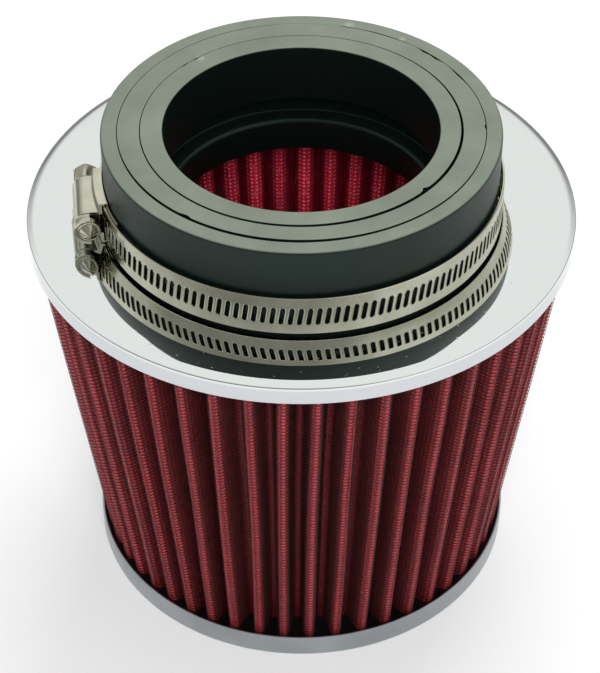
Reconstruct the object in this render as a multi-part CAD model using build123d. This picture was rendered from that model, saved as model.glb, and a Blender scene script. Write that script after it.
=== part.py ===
from build123d import *
import math
import os

# Cone air filter for a 3 inch intake pipe, millimetres, axis on Z, standing on its closed base.
# The photographed front is -Y.

# Pipe sizes that the neck takes: 3, 3.5 and 4 inch outside diameters
inch = 25.4
pipe_small_r = 3.0 * inch / 2
pipe_step = inch / 4
pipe_middle_r = pipe_small_r + pipe_step
pipe_large_r = pipe_middle_r + pipe_step

# Lengths along the axis
overall_height = 148.5
neck_height = 27.4
reducer_length = 17.8
stop_depth = 7.1
lip_depth = 11.1
ring_over_disc = 4.1
skirt_depth = 4.5
base_height = 7.6
rim_over_seal = 1.0

# Clearance between curved faces that only lie against each other
clear = 0.3

# Pressed sheet steel: top ring and base cap
sheet = 0.8
ring_corner = 1.0
ring_crest_width = 12.0
ring_crest_rise = 2.0
ring_crest_round = 60.0
crest_margin = 0.3
ring_edge_fall = 0.9
base_corner = 2.0

# Moulded rubber neck with its end disc
neck_wall = 4.5
neck_edge_round = 0.8
stop_ledge = 1.95
lip_ledge = 1.1
lip_flare = 1.2
lip_wall = 3.5
lip_round = 1.4

# Rubber reducer rings
ring_gap = 0.3

# Pleated pack: cotton between two woven wire screens
pleats = 50
tip_r_bottom = 61.5
tip_r_top = 75.5
pleat_depth = 9.0
cotton = 0.9
screen = 0.3
screen_gap = 0.25
tip_fold_r = 1.1
root_fold_r = 1.9
fold_facets = 3
first_ridge = -86.6
disc_margin = 0.05
ring_side_gap = 0.6
base_side_gap = 0.75

# Worm drive hose clamp
band_width = 12.0
band_sheet = 0.6
band_over_ring = 1.3
band_layer_gap = 0.2
slot_step = 2.45
slot_width = 1.3
slot_length = 5.6
slot_slant = 8.0
clamp_turn = 7.0
tongue_end = 201.0
joggle_start = 153.0
joggle_end = -137.0
tail_end = -181.2
last_slot = 33.0
screw_over_band = 3.0
journal_r = 3.2
running_clearance = 0.05
core_r = 2.6
housing_sheet = 0.8
leg_clearance = 0.05
housing_front = 15.0
housing_back = 5.0
saddle_front = 11.6
lip_rise = 0.3
lip_width = 1.0
journal_width = 2.0
nose_length = 2.2
collar_r = 3.7
collar_width = 1.0
head_across_flats = 6.8
head_length = 5.5
head_slot_width = 1.2
head_slot_depth = 1.8

# Heights above the floor, down from the neck's top and up from the floor
ring_neck_z = overall_height - neck_height
ring_under_z = ring_neck_z - sheet
skirt_bottom_z = ring_neck_z - skirt_depth
disc_bottom_z = ring_neck_z - ring_over_disc
ledge_z = overall_height - reducer_length
stop_floor_z = ledge_z - stop_depth
lip_bottom_z = stop_floor_z - lip_depth
media_bottom_z = base_height - rim_over_seal
band_centre_z = ring_neck_z + band_over_ring + band_width / 2

# Radii, out from the pipes and out from the pleats
neck_r = pipe_large_r + neck_wall
stop_wall_r = pipe_middle_r - stop_ledge
lip_top_r = pipe_small_r - lip_ledge
lip_bottom_r = lip_top_r + lip_flare
lip_outer_r = stop_wall_r + lip_wall
ring_inner_r = neck_r + clear
ring_crest_r = ring_inner_r + ring_crest_width
outer_face = cotton / 2
outer_screen_face = outer_face + screen_gap + screen
disc_r = tip_r_top + screen_gap + screen + disc_margin
ring_outer_r = disc_r + ring_side_gap + sheet
base_outer_r = tip_r_bottom + screen_gap + screen + base_side_gap + sheet
band_layers = 2 * band_sheet + band_layer_gap
screw_axis_r = neck_r + clear + band_layers + screw_over_band


def revolved(points, rounds=()):
    """Solid of revolution about Z from (radius, height) points; rounds are (point number, radius)."""
    section = make_face(Polyline(*points, close=True))
    for number, radius in rounds:
        r, z = points[number]
        corner = section.vertices().sort_by_distance((r, z, 0))[0]
        section = fillet(corner, radius)
    return revolve(Plane.XZ * section, Axis.Z)


def tube(inner_r, outer_r, low, high):
    return Pos(0, 0, low) * extrude(Circle(outer_r) - Circle(inner_r), high - low)


def fold_line(tip_r, offset):
    """Closed outline of the pleated sheet, at an offset from the middle of the cotton."""
    half = math.pi / pleats
    tip_centre = tip_r - tip_fold_r - cotton / 2
    folds = tip_fold_r + root_fold_r
    root_centre = tip_centre - (pleat_depth - folds)
    across = root_centre * math.sin(half)
    along = tip_centre - root_centre * math.cos(half)
    lean = math.atan2(across, along) - math.asin(folds / math.hypot(across, along))
    tip_sweep = math.pi / 2 - lean
    root_sweep = tip_sweep - half
    points = []
    for pleat in range(pleats):
        ridge = math.radians(first_ridge) + 2 * half * pleat
        for step in range(fold_facets + 1):
            turn = ridge + tip_sweep * (2 * step / fold_facets - 1)
            x = tip_centre * math.cos(ridge) + (tip_fold_r + offset) * math.cos(turn)
            y = tip_centre * math.sin(ridge) + (tip_fold_r + offset) * math.sin(turn)
            points.append((x, y))
        valley = ridge + half
        for step in range(fold_facets + 1):
            turn = valley + root_sweep * (1 - 2 * step / fold_facets)
            x = root_centre * math.cos(valley) - (root_fold_r - offset) * math.cos(turn)
            y = root_centre * math.sin(valley) - (root_fold_r - offset) * math.sin(turn)
            points.append((x, y))
    return points


def pleated_cone(offset):
    """Solid inside the pleated face at this offset, from the base seal to the end disc."""
    low = make_face(Polyline(*fold_line(tip_r_bottom, offset), close=True))
    high = make_face(Polyline(*fold_line(tip_r_top, offset), close=True))
    return loft([Pos(0, 0, media_bottom_z) * low, Pos(0, 0, disc_bottom_z) * high], ruled=True)


def pleated_sheet(outer_offset, inner_offset):
    """One pleated layer: its outer and inner faces, closed by a flat end below and above."""
    outer = pleated_cone(outer_offset).faces().sort_by(Axis.Z)
    inner = pleated_cone(inner_offset).faces().sort_by(Axis.Z)
    ends = [Face(outer[end].outer_wire(), [inner[end].outer_wire()]) for end in (0, -1)]
    return Solid(Shell([*outer[1:-1], *inner[1:-1], *ends]))


def saddle_arc(inner_r, outer_r, low, high):
    """Piece of a ring round the neck, as long as the saddle, on the -X side before the clamp is turned."""
    section = make_face(Polyline((inner_r, low), (outer_r, low), (outer_r, high), (inner_r, high), close=True))
    behind = math.degrees(housing_back / outer_r)
    ahead = math.degrees(saddle_front / outer_r)
    return revolve(Rot(0, 0, 180 - behind) * (Plane.XZ * section), Axis.Z, behind + ahead)


# Base: a pressed cup, filled with the seal that the pleats stand in
base_cap = revolved(
    [
        (0, 0),
        (base_outer_r, 0),
        (base_outer_r, base_height),
        (base_outer_r - sheet, base_height),
        (base_outer_r - sheet, sheet),
        (0, sheet),
    ],
    [(1, base_corner), (4, base_corner - sheet)],
)
seal_r = base_outer_r - sheet - clear
seal_edge = base_corner - sheet
base_seal = revolved(
    [
        (0, sheet),
        (seal_r - seal_edge, sheet),
        (seal_r, sheet + seal_edge),
        (seal_r, media_bottom_z),
        (0, media_bottom_z),
    ]
)

# Pleated pack, from outside to inside
outer_wire_screen = pleated_sheet(outer_screen_face, outer_face + screen_gap)
cotton_media = pleated_sheet(outer_face, -outer_face)
inner_wire_screen = pleated_sheet(-outer_face - screen_gap, -outer_screen_face)

# Rubber neck and end disc, moulded as one
ring_crest_z = ring_neck_z + ring_crest_rise
ring_slope = ring_edge_fall / (ring_outer_r - ring_crest_r)
disc_crest_z = ring_crest_z - sheet - clear
disc_edge_z = disc_crest_z - ring_slope * (disc_r - ring_crest_r)
# The crest's round ends before the disc's edge, also on a narrower ring
crest_turn = math.atan(ring_crest_rise / ring_crest_width) + math.atan(ring_slope)
crest_room = disc_r - ring_crest_r - crest_margin
crest_round = min(ring_crest_round, crest_room / math.tan(crest_turn / 2))
neck_end_cap = revolved(
    [
        (pipe_large_r, overall_height),
        (pipe_large_r, ledge_z),
        (stop_wall_r, ledge_z),
        (stop_wall_r, stop_floor_z),
        (lip_top_r, stop_floor_z),
        (lip_bottom_r, lip_bottom_z),
        (lip_outer_r, lip_bottom_z),
        (lip_outer_r, disc_bottom_z),
        (disc_r, disc_bottom_z),
        (disc_r, disc_edge_z),
        (ring_crest_r, disc_crest_z),
        (neck_r, ring_under_z - clear),
        (neck_r, overall_height),
    ],
    [(4, lip_round), (10, crest_round - sheet - clear), (12, neck_edge_round)],
)

# Chromed top ring: a domed plate with a turned-down skirt
ring_edge_z = ring_crest_z - ring_edge_fall
chrome_top_ring = revolved(
    [
        (ring_inner_r, ring_neck_z),
        (ring_crest_r, ring_crest_z),
        (ring_outer_r, ring_edge_z),
        (ring_outer_r, skirt_bottom_z),
        (ring_outer_r - sheet, skirt_bottom_z),
        (ring_outer_r - sheet, ring_edge_z - sheet + ring_slope * sheet),
        (ring_crest_r, ring_crest_z - sheet),
        (ring_inner_r, ring_under_z),
    ],
    [(1, crest_round), (2, ring_corner), (5, ring_corner - sheet), (6, crest_round - sheet)],
)

# Reducer rings, one inside the other, level with the top of the neck
outer_reducer = tube(pipe_middle_r + ring_gap, pipe_large_r - ring_gap, ledge_z, overall_height)
inner_reducer = tube(pipe_small_r, pipe_middle_r, ledge_z, overall_height)


def band_inner_r(angle):
    """The strip starts against the neck and steps out to pass over its own start."""
    low = neck_r + clear
    high = low + band_sheet + band_layer_gap
    share = (joggle_start - angle) / (joggle_start - joggle_end)
    return low + (high - low) * min(1.0, max(0.0, share))


def strip_point(radius, angle):
    return (radius * math.cos(math.radians(angle)), radius * math.sin(math.radians(angle)))


# Slotted band, built with its screw on the -X side
steps = round((tongue_end - tail_end) / slot_step)
stations = [tongue_end - slot_step * step for step in range(steps + 1)]
inside = [strip_point(band_inner_r(angle), angle) for angle in stations]
outside = [strip_point(band_inner_r(angle) + band_sheet, angle) for angle in reversed(stations)]
strip = extrude(make_face(Polyline(*inside, *outside, close=True)), band_width)
slot = Rot(-slot_slant, 0, 0) * Box(3 * band_sheet, slot_width, slot_length)
slots = []
for start, end in zip(stations[:-2], stations[1:-1]):
    middle = (start + end) / 2
    if middle < last_slot:
        radius = band_inner_r(middle) + band_sheet / 2
        slots.append(Rot(0, 0, middle) * Pos(radius, 0, band_width / 2) * slot)
at_neck = Rot(0, 0, clamp_turn) * Pos(0, 0, band_centre_z - band_width / 2)
clamp_band = at_neck * (strip - slots)

# Screw housing: half a tube over the screw, with legs that step out round the band's edges
bore_r = journal_r + running_clearance
shell_r = bore_r + housing_sheet
foot_inner_r = band_inner_r(-180) + band_sheet + clear
foot_outer_r = foot_inner_r + housing_sheet
leg = screw_axis_r - math.sqrt(foot_inner_r**2 - saddle_front**2)
side_in = band_width / 2 + leg_clearance
side_out = side_in + band_sheet


def half_tube(outer, low, high, leg=0.0):
    """Half tube over the screw between two places along it, with straight legs towards the band."""
    section = Circle(outer) - Circle(bore_r)
    section -= Pos(outer, 0) * Rectangle(2 * outer, 2 * outer)
    if leg:
        for side in (-1, 1):
            section += Pos(leg / 2, side * (bore_r + outer) / 2) * Rectangle(leg, outer - bore_r)
    along_screw = Plane(origin=(-screw_axis_r, low, 0), x_dir=(1, 0, 0), z_dir=(0, 1, 0))
    return extrude(along_screw * section, high - low)


housing = half_tube(shell_r, -saddle_front, housing_back, leg)
housing -= Cylinder(foot_inner_r, 3 * shell_r)
housing += half_tube(shell_r, -housing_front, -saddle_front)
for low in (-housing_front, housing_back - lip_width):
    housing += half_tube(shell_r + lip_rise, low, low + lip_width)
for side in (-1, 1):
    foot_low, foot_high = sorted((side * bore_r, side * side_out))
    housing += saddle_arc(foot_inner_r, foot_outer_r, foot_low, foot_high)
    wall_low, wall_high = sorted((side * side_in, side * side_out))
    housing += saddle_arc(neck_r + clear, foot_outer_r, wall_low, wall_high)
on_band = Rot(0, 0, clamp_turn) * Pos(0, 0, band_centre_z)
clamp_housing = on_band * housing


# Screw: two journals in the housing, a core between them, round nose to the front, slotted hex head behind
def round_bar(radius, low, high):
    along_screw = Plane(origin=(-screw_axis_r, low, 0), x_dir=(1, 0, 0), z_dir=(0, 1, 0))
    return extrude(along_screw * Circle(radius), high - low)


screw = round_bar(core_r, -housing_front - nose_length, housing_back)
screw = fillet(screw.edges().group_by(Axis.Y)[0], nose_length)
screw += round_bar(journal_r, -housing_front, -housing_front + journal_width)
screw += round_bar(journal_r, housing_back - journal_width, housing_back)
collar_start = housing_back + running_clearance
head_start = collar_start + collar_width
screw += round_bar(core_r, housing_back, head_start)
screw += round_bar(collar_r, collar_start, head_start)
head_plane = Plane(origin=(-screw_axis_r, head_start, 0), x_dir=(1, 0, 0), z_dir=(0, 1, 0))
hexagon = RegularPolygon(head_across_flats / 2, 6, major_radius=False)
screw += extrude(head_plane * hexagon, head_length)
slot_centre = Pos(-screw_axis_r, head_start + head_length, 0)
screw -= slot_centre * Box(2 * head_across_flats, 2 * head_slot_depth, head_slot_width)
clamp_screw = on_band * screw

nodes = {
    "base_cap": base_cap,
    "base_seal": base_seal,
    "outer_wire_screen": outer_wire_screen,
    "cotton_media": cotton_media,
    "inner_wire_screen": inner_wire_screen,
    "neck_end_cap": neck_end_cap,
    "chrome_top_ring": chrome_top_ring,
    "outer_reducer": outer_reducer,
    "inner_reducer": inner_reducer,
    "clamp_band": clamp_band,
    "clamp_housing": clamp_housing,
    "clamp_screw": clamp_screw,
}
os.makedirs("parts", exist_ok=True)
for name, shape in nodes.items():
    export_step(shape, f"parts/{name}.step")
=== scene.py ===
import math
import random

import bmesh
import bpy
import numpy as np
from mathutils import Matrix, Vector


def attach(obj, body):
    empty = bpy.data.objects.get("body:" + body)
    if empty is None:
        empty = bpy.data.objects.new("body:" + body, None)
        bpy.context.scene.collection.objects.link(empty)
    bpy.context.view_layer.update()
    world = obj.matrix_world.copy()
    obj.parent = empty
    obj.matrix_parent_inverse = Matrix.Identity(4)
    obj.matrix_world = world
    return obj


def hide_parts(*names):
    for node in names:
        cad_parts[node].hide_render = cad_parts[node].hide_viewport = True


# Cone air filter standing on its closed end. Sizes are in millimetres, colours in sRGB hex.
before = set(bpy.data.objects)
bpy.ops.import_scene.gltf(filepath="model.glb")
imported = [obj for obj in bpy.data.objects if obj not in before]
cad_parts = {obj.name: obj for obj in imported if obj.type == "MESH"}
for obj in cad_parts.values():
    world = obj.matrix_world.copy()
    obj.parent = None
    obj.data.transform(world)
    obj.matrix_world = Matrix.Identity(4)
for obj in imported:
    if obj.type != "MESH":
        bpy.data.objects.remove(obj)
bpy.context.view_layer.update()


# Base cap. A shallow cup pressed from sheet steel and chromed, which closes the narrow end.
# Its wall stands round the seal, and its cut edge has been rolled smooth.
def linear(code):
    """Linear colour of an sRGB hex code."""
    shares = [int(code[place : place + 2], 16) / 255 for place in (0, 2, 4)]
    return (*[c / 12.92 if c <= 0.04045 else ((c + 0.055) / 1.055) ** 2.4 for c in shares], 1.0)


def add(tree, kind, sockets=(), stops=(), **settings):
    """A node with its settings, its sockets' values or links, and a ramp's (place, hex colour) stops."""
    node = tree.nodes.new("ShaderNode" + kind)
    for name, value in settings.items():
        setattr(node, name, value)
    for name, value in dict(sockets).items():
        if isinstance(value, bpy.types.NodeSocket):
            tree.links.new(value, node.inputs[name])
        else:
            node.inputs[name].default_value = value
    if stops:
        elements = node.color_ramp.elements
        while len(elements) < len(stops):
            elements.new(0.5)
        for element, (place, code) in zip(elements, stops):
            element.position = place
            element.color = linear(code)
    return node


def new_finish(name):
    """An empty material, and its node tree."""
    material = bpy.data.materials.new(name)
    material.use_nodes = True
    material.node_tree.nodes.clear()
    return material, material.node_tree


def rounded(corners, steps=6):
    """Closed outline through (radius, height, rounding) corners."""
    points = []
    for place, (r, z, rounding) in enumerate(corners):
        here = Vector((r, z))
        if not rounding:
            points.append((r, z))
            continue
        before = (Vector(corners[place - 1][:2]) - here).normalized()
        after = (Vector(corners[(place + 1) % len(corners)][:2]) - here).normalized()
        half = before.angle(after) / 2
        middle = here + (before + after).normalized() * (rounding / math.sin(half))
        start = here + before * (rounding / math.tan(half)) - middle
        end = here + after * (rounding / math.tan(half)) - middle
        for step in range(steps + 1):
            spoke = start.slerp(end, step / steps) * rounding
            points.append((middle.x + spoke.x, middle.y + spoke.y))
    return points


def mesh_of(name, points, faces, crease=35):
    """Mesh in metres from points in millimetres, shaded smooth up to the crease angle."""
    mesh = bpy.data.meshes.new(name)
    mesh.from_pydata([[c * 0.001 for c in point] for point in points], [], faces)
    work = bmesh.new()
    work.from_mesh(mesh)
    bmesh.ops.remove_doubles(work, verts=work.verts, dist=1e-7)
    bmesh.ops.dissolve_degenerate(work, edges=work.edges, dist=1e-7)
    bmesh.ops.recalc_face_normals(work, faces=work.faces)
    work.to_mesh(mesh)
    work.free()
    mesh.shade_smooth()
    mesh.set_sharp_from_angle(angle=math.radians(crease))
    return mesh


def lathe(name, outline, turns=240, shift=None, crease=35):
    """Mesh of a closed (radius, height) outline turned about the axis; shift bends (angle, r, z)."""
    points, faces = [], []
    count = len(outline)
    for turn in range(turns):
        angle = 2 * math.pi * turn / turns
        for r, z in outline:
            if shift:
                r, z = shift(angle, r, z)
            points.append((r * math.cos(angle), r * math.sin(angle), z))
        for here in range(count):
            on = (here + 1) % count
            ahead = (turn + 1) % turns * count
            faces.append((turn * count + here, ahead + here, ahead + on, turn * count + on))
    return mesh_of(name, points, faces, crease)


def fit(name, mesh, material, body, node):
    """The finished piece on its body, in place of its plain solid."""
    piece = bpy.data.objects.new(name, mesh)
    bpy.context.scene.collection.objects.link(piece)
    mesh.materials.append(material)
    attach(piece, body)
    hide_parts(node)
    return piece


sheet = 0.8
base_r = 63.6
base_height = 7.6
base_corner = 0.7
base_corner_inside = 1.2
rolled_edge = 0.3

# Chromed steel, satin from polishing: a soft grey mirror with fine marks running round the wall
satin_chrome, tree = new_finish("chromed_steel_satin_polished")
place = add(tree, "TexCoord").outputs["Object"]
# Polishing marks about 0.4 mm apart up the wall and 30 mm long, drawn coarser than real, and haze
# in patches of about 17 mm
marks = add(tree, "Mapping", {"Vector": place, "Scale": (30, 30, 2500)}).outputs["Vector"]
grain = add(tree, "TexNoise", {"Vector": marks, "Scale": 1.0, "Detail": 3.0}).outputs["Fac"]
haze = add(tree, "TexNoise", {"Vector": place, "Scale": 60.0, "Detail": 4.0}).outputs["Fac"]
tone = add(tree, "ValToRGB", {"Fac": haze}, [(0.3, "989DA0"), (0.75, "AAB0B3")]).outputs["Color"]
rough = add(tree, "MapRange", {"Value": haze, "To Min": 0.26, "To Max": 0.38}).outputs["Result"]
bump = add(tree, "Bump", {"Height": grain, "Strength": 0.12, "Distance": 0.0002}).outputs["Normal"]
metal = {"Base Color": tone, "Metallic": 1.0, "Roughness": rough, "Normal": bump}
shader = add(tree, "BsdfPrincipled", metal)
add(tree, "OutputMaterial", {"Surface": shader.outputs["BSDF"]})

cup_outline = [
    (0, 0, 0),
    (base_r, 0, base_corner),
    (base_r, base_height, rolled_edge),
    (base_r - sheet, base_height, rolled_edge),
    (base_r - sheet, sheet, base_corner_inside),
    (0, sheet, 0),
]
cup = lathe("base_cap_cup", rounded(cup_outline))
fit("base_cap_cup", cup, satin_chrome, "filter", "base_cap")


# Base seal. Black polyurethane poured into the cap, in which the pleats stand.
# It set low between the folds and crept up their outer edges and the cap's wall.
seal_z = 3.8
seal_edge_z = 6.6
seal_gap = 0.05
seal_r = base_r - sheet - seal_gap
swell_rise = 0.12
ripple_rise = 0.08


def seal_skin(angle, r, z):
    """Slow unevenness of the poured surface, which is level at its middle."""
    if z < seal_z or r < 1:
        return r, z
    return r, z + swell_rise * math.sin(9 * angle + 0.4 * r) + ripple_rise * math.sin(23 * angle)


# Cast polyurethane: black with a soft shine and a few pits
black_seal, tree = new_finish("polyurethane_cast_black")
place = add(tree, "TexCoord").outputs["Object"]
# Pits of about 1.4 mm
pits = add(tree, "TexNoise", {"Vector": place, "Scale": 700.0, "Detail": 2.0}).outputs["Fac"]
tone = add(tree, "ValToRGB", {"Fac": pits}, [(0.0, "0B0B0C"), (1.0, "1A1A1B")]).outputs["Color"]
bump = add(tree, "Bump", {"Height": pits, "Strength": 0.3, "Distance": 0.0003}).outputs["Normal"]
shader = add(tree, "BsdfPrincipled", {"Base Color": tone, "Roughness": 0.42, "IOR": 1.5, "Normal": bump})
add(tree, "OutputMaterial", {"Surface": shader.outputs["BSDF"]})

seal_outline = [
    (0, sheet),
    (seal_r - base_corner_inside, sheet),
    (seal_r, sheet + base_corner_inside),
    (seal_r, seal_edge_z + 0.5),
    (seal_r - 0.5, seal_edge_z),
    (seal_r - 1.4, seal_edge_z - 0.7),
    (seal_r - 3.0, seal_edge_z - 1.6),
    (seal_r - 5.0, seal_z + 0.4),
    (seal_r - 7.5, seal_z),
    (45, seal_z),
    (0, seal_z),
]
seal = lathe("poured_base_seal", seal_outline, shift=seal_skin)
fit("poured_base_seal", seal, black_seal, "filter", "base_seal")


# Pleated cotton. Red oiled cotton gauze, folded by a pleating machine into fifty pleats and
# closed to a cone. Its ends are cast into the base seal and the rubber end disc.
pleats = 50
media_low = 6.6
media_high = 117.0
sunk_z = 3.4
tip_r_low = 61.5
tip_r_high = 75.5
pleat_depth = 9.0
cotton = 0.9
tip_fold_r = 0.85
root_fold_r = 2.1
first_ridge = -86.6
lean_range = math.radians(1.4)
lean_waves = 3
lean_start = math.radians(98)
arc_steps = 6
flank_steps = 3
# A flank faces about this far round from its ridge, in radians
flank_turn = 1.4
# Each fold strays a little from its even place, sideways, in and out, and in a slow sway up the pleat.
# At the cast ends a share of that is left.
ridge_end_share = 0.35
tip_end_share = 0.4
sway_waves = 2.2
hand = random.Random(11)
ridge_shift = np.array([math.radians(hand.gauss(0, 0.2)) for _ in range(pleats)])
tip_shift = np.array([hand.gauss(0, 0.15) for _ in range(pleats)]).clip(-0.4, 0.3)
root_shift = np.array([hand.gauss(0, 0.35) for _ in range(pleats)]).clip(-0.7, 0.7)
sway = np.array([math.radians(hand.gauss(0, 0.12)) for _ in range(pleats)])
sway_start = np.array([hand.uniform(0, 2 * math.pi) for _ in range(pleats)])


def spokes(angles):
    """Directions of length one at these angles."""
    return np.stack([np.cos(angles), np.sin(angles)], -1)


def flank_angle(tip, root, side):
    """Direction that a pleat's straight flank faces, between its outer and inner fold."""
    line = root - tip
    reach = np.hypot(line[:, 0], line[:, 1])
    return np.arctan2(line[:, 1], line[:, 0]) - side * np.arccos((tip_fold_r + root_fold_r) / reach)


def near(angle, middle):
    """The same direction, within half a turn of the middle one."""
    return middle + (angle - middle + math.pi) % (2 * math.pi) - math.pi


def fold_line(height, offset, arc_steps, flank_steps):
    """Points and outward directions round the folded sheet at one height, for one offset from it."""
    share = (height - media_low) / (media_high - media_low)
    ease = math.sin(math.pi * min(1.0, max(0.0, share)))
    even = math.radians(first_ridge) + 2 * math.pi / pleats * np.arange(pleats)
    # The pack leans up to 0.7 degrees one way and the other as it goes round
    lean = lean_range * np.cos(lean_waves * (even + lean_start)) * (share - 0.5)
    ridge = even + lean + ridge_shift * (ridge_end_share + (1 - ridge_end_share) * ease)
    ridge = ridge + sway * ease * np.sin(sway_waves * math.pi * share + sway_start)
    tip_middle = tip_r_low + (tip_r_high - tip_r_low) * share - tip_fold_r - cotton / 2
    tip_off = tip_shift * (tip_end_share + (1 - tip_end_share) * ease)
    tip = (tip_middle + tip_off)[:, None] * spokes(ridge)
    next_tip = np.roll(tip, -1, 0)
    following = np.append(ridge[1:], ridge[0] + 2 * math.pi)
    valley = (ridge + following) / 2
    root_middle = tip_middle - pleat_depth + tip_fold_r + root_fold_r
    root = (root_middle + root_shift)[:, None] * spokes(valley)
    ahead = near(flank_angle(tip, root, 1), ridge + flank_turn)
    behind = near(flank_angle(next_tip, root, -1), following - flank_turn)
    arrive = np.roll(behind, 1)
    arrive[0] -= 2 * math.pi
    tip_r = tip_fold_r + offset
    root_r = offset - root_fold_r
    places, facing = [], []
    # Round the tip, in along one flank, round the root and out along the other flank
    for fold, fold_r, start, end, next_fold, next_r in (
        (tip, tip_r, arrive, ahead, root, root_r),
        (root, root_r, ahead, behind, next_tip, tip_r),
    ):
        for at in range(arc_steps + 1):
            turn = start + (end - start) * at / arc_steps
            places.append(fold + fold_r * spokes(turn))
            facing.append(spokes(turn))
        leave = fold + fold_r * spokes(end)
        reach = next_fold + next_r * spokes(end)
        for at in range(1, flank_steps):
            places.append(leave + (reach - leave) * at / flank_steps)
            facing.append(spokes(end))
    return np.stack(places, 1).reshape(-1, 2), np.stack(facing, 1).reshape(-1, 2)


# The wires of the screens are 1.35 mm apart, and the strip is laid out in their meshes
mesh_step = 1.35
middle, _ = fold_line((media_low + media_high) / 2, 0, arc_steps, flank_steps)
along = np.append(0, np.cumsum(np.hypot(*(np.roll(middle, -1, 0) - middle).T)))
wires_round = round((media_high - sunk_z) / mesh_step)
wires_up = round(along[-1] / mesh_step)
rows = 24
columns = len(middle)
points, faces = [], []
for offset in (cotton / 2, -cotton / 2):
    for row in range(rows + 1):
        height = sunk_z + (media_high - sunk_z) * row / rows
        line, _ = fold_line(height, offset, arc_steps, flank_steps)
        points.extend((x, y, height) for x, y in line)
inside = (rows + 1) * columns
for column in range(columns):
    on = (column + 1) % columns
    for row in range(rows):
        low, high = row * columns, (row + 1) * columns
        faces.append((low + column, low + on, high + on, high + column))
        back_low, back_high = inside + low, inside + high
        faces.append((back_low + on, back_low + column, back_high + column, back_high + on))
    top = rows * columns
    faces.append((column, inside + column, inside + on, on))
    faces.append((top + column, top + on, inside + top + on, inside + top + column))
mesh = bpy.data.meshes.new("pleated_cotton")
mesh.from_pydata([[c * 0.001 for c in point] for point in points], [], faces)
# The strip laid flat, counted in meshes of the wire screen along it and up it
strip = mesh.uv_layers.new(name="strip").uv
# Which side of the strip a face is on, and how deep in its pleat
inward = mesh.uv_layers.new(name="inward").uv
corner = 0
for face in mesh.polygons:
    spots = [v % inside for v in face.vertices]
    seam = {spot % columns for spot in spots} == {0, columns - 1}
    for spot, vertex in zip(spots, face.vertices):
        column = columns if seam and spot % columns == 0 else spot % columns
        height = sunk_z + (media_high - sunk_z) * (spot // columns) / rows
        tip_r = tip_r_low + (tip_r_high - tip_r_low) * (height - media_low) / (media_high - media_low)
        depth = (tip_r - math.hypot(points[spot][0], points[spot][1])) / pleat_depth
        inward[corner].vector = (float(vertex >= inside), depth)
        strip[corner].vector = (along[column] / along[-1] * wires_up, spot // columns / rows * wires_round)
        corner += 1
mesh.shade_smooth()
mesh.set_sharp_from_angle(angle=math.radians(60))

# Oiled woven cotton: deep red, swelling out of every mesh of the screen as a bead, with a painted highlight
# on each bead and painted shade where the wires press it in. Beads are 1.35 mm apart as the wires are.
red_cotton, tree = new_finish("cotton_gauze_woven_oiled")
# A Mix node's colour sockets go by number, because its number sockets have the same names
mix_a, mix_b, mixed = 6, 7, 2
strip_map = add(tree, "UVMap", uv_map="strip").outputs["UV"]
fray = add(tree, "TexNoise", {"Vector": strip_map, "Scale": 1.3, "Detail": 3.0})
middle_grey = (0.5, 0.5, 0.5)
fray_shift = add(tree, "VectorMath", {0: fray.outputs["Color"], 1: middle_grey}, operation="SUBTRACT")
fray_small = add(tree, "VectorMath", {0: fray_shift.outputs[0], "Scale": 0.5}, operation="SCALE")
loose = add(tree, "VectorMath", {0: strip_map, 1: fray_small.outputs[0]}, operation="ADD").outputs[0]
axes = add(tree, "SeparateXYZ", {"Vector": loose})
swell = []
for axis in ("X", "Y"):
    turn = add(tree, "Math", {0: axes.outputs[axis], 1: math.pi}, operation="MULTIPLY").outputs[0]
    wave = add(tree, "Math", {0: turn}, operation="COSINE").outputs[0]
    swell.append(add(tree, "Math", {0: wave}, operation="ABSOLUTE").outputs[0])
bead = add(tree, "Math", {0: swell[0], 1: swell[1]}, operation="MULTIPLY").outputs[0]
# Painted light: the red is brightest at each bead's peak and darkest at the wires
painted_bead_light_reds = [(0.05, "6E131B"), (0.45, "92222B"), (0.8, "A6343C"), (0.97, "B84B52")]
painted_bead_light = add(tree, "ValToRGB", {"Fac": bead}, painted_bead_light_reds).outputs["Color"]
# Painted shade: the outside is coloured darker down the flanks, deeper in each pleat
where = add(tree, "SeparateXYZ", {"Vector": add(tree, "UVMap", uv_map="inward").outputs["UV"]})
depth = where.outputs["Y"]
painted_pleat_shade_tones = [(0.06, "FFFFFF"), (0.2, "DCD0D0"), (0.5, "B8A6A6"), (1.0, "C0B0B0")]
painted_pleat_shade = add(tree, "ValToRGB", {"Fac": depth}, painted_pleat_shade_tones).outputs["Color"]
tones = {"Factor": 1.0, mix_a: painted_bead_light, mix_b: painted_pleat_shade}
outer_tone = add(tree, "Mix", tones, data_type="RGBA", blend_type="MULTIPLY").outputs[mixed]
# Painted light within: the inner side is coloured brighter red, as if lit through the cotton, its beads
# carry painted pink glints, the folds painted light and the flanks between them painted shade
painted_glow_pinks = [(0.05, "D01838"), (0.55, "FF3058"), (0.85, "FF6E84"), (0.97, "FFC0C8")]
painted_inner_glow = add(tree, "ValToRGB", {"Fac": bead}, painted_glow_pinks).outputs["Color"]
painted_depth_shading_tones = [(0.1, "FFF0F0"), (0.3, "A08888"), (0.82, "988080"), (0.97, "FFFFFF")]
painted_depth_shading = add(tree, "ValToRGB", {"Fac": depth}, painted_depth_shading_tones).outputs["Color"]
tones = {"Factor": 1.0, mix_a: painted_inner_glow, mix_b: painted_depth_shading}
inner_tone = add(tree, "Mix", tones, data_type="RGBA", blend_type="MULTIPLY").outputs[mixed]
tones = {"Factor": where.outputs["X"], mix_a: outer_tone, mix_b: inner_tone}
tone = add(tree, "Mix", tones, data_type="RGBA").outputs[mixed]
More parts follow.
